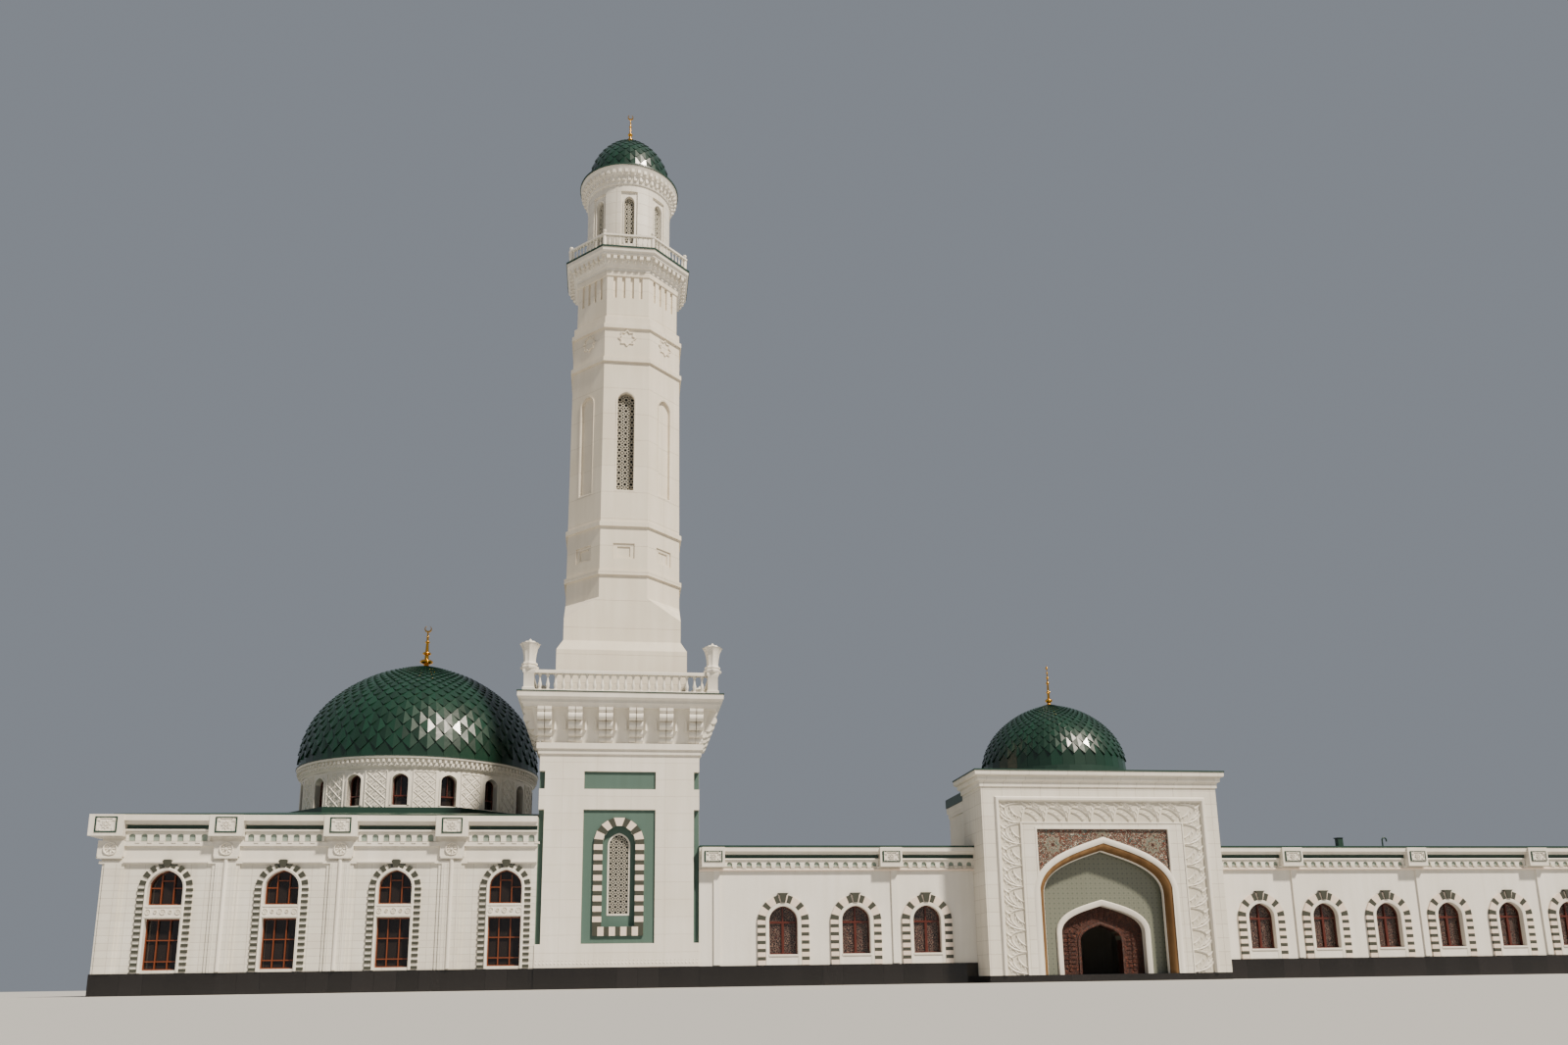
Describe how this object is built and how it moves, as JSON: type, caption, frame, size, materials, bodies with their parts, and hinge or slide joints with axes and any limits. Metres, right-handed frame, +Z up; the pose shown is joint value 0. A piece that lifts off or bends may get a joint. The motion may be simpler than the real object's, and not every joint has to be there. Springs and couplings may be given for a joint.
{
  "type": "mosque building, model at 1:2",
  "caption": "Mosque in a street row with a tall octagonal minaret, a domed prayer hall, low wings and an arched domed portal; a half-size model.",
  "frame": {"origin": "on the ground under the axis of the minaret, on the underside of the tower base", "axes": "+X to the right along the street front, +Y to the back away from the street, +Z up"},
  "size_m": [34.865, 12.025, 22.93],
  "materials": {
    "marble": "pale cream marble slabs, honed",
    "shaft_stone": "beige rendered stone, matt",
    "plaster": "off-white lime plaster, matt",
    "stone_lattice": "carved white marble lattice",
    "roof_slab": "grey roofing on a masonry slab",
    "dome_tile": "dark green glazed scale tiles",
    "gilded_metal": "gilded, polished",
    "gold_trim": "gilded twisted moulding",
    "window_glass": "dark window glass in wooden frames"
  },
  "bodies": {
    "root": {"hall_base": "marble", "hall_front_wall": "marble", "hall_back_wall": "marble", "hall_left_wall": "marble", "hall_right_wall": "marble", "hall_entablature": "marble", "hall_roof": "roof_slab", "hall_drum": "marble", "hall_drum_glazing": "window_glass", "hall_dome": "dome_tile", "hall_finial": "gilded_metal", "hall_glazing": "window_glass", "tower_base": "marble", "tower_lattice": "stone_lattice", "tower_cornice": "marble", "tower_balustrade": "marble", "tower_pedestal": "marble", "tower_shaft": "shaft_stone", "tower_shaft_lattice": "stone_lattice", "tower_upper_shaft": "shaft_stone", "balcony_floor": "marble", "balcony_balustrade": "marble", "lantern_drum": "marble", "lantern_lattice": "stone_lattice", "lantern_dome": "dome_tile", "lantern_finial": "gilded_metal", "middle_wing_base": "marble", "middle_wing_bay_1": "plaster", "middle_wing_bay_2": "plaster", "middle_wing_bay_3": "plaster", "middle_wing_back_wall": "plaster", "middle_wing_entablature": "marble", "middle_wing_roof": "roof_slab", "middle_wing_front_glazing": "window_glass", "middle_wing_back_glazing": "window_glass", "right_wing_base": "marble", "right_wing_front_wall": "plaster", "right_wing_back_wall": "plaster", "right_wing_entablature": "marble", "right_wing_roof": "roof_slab", "right_wing_end_wall": "plaster", "right_wing_glazing": "window_glass", "portal_floor": "marble", "portal_screen": "marble", "portal_arch_trim": "gold_trim", "portal_door_wall": "marble", "portal_cornice": "marble", "entrance_walls": "plaster", "portal_roof": "roof_slab", "portal_dome": "dome_tile", "portal_finial": "gilded_metal"}
  },
  "joints": []
}
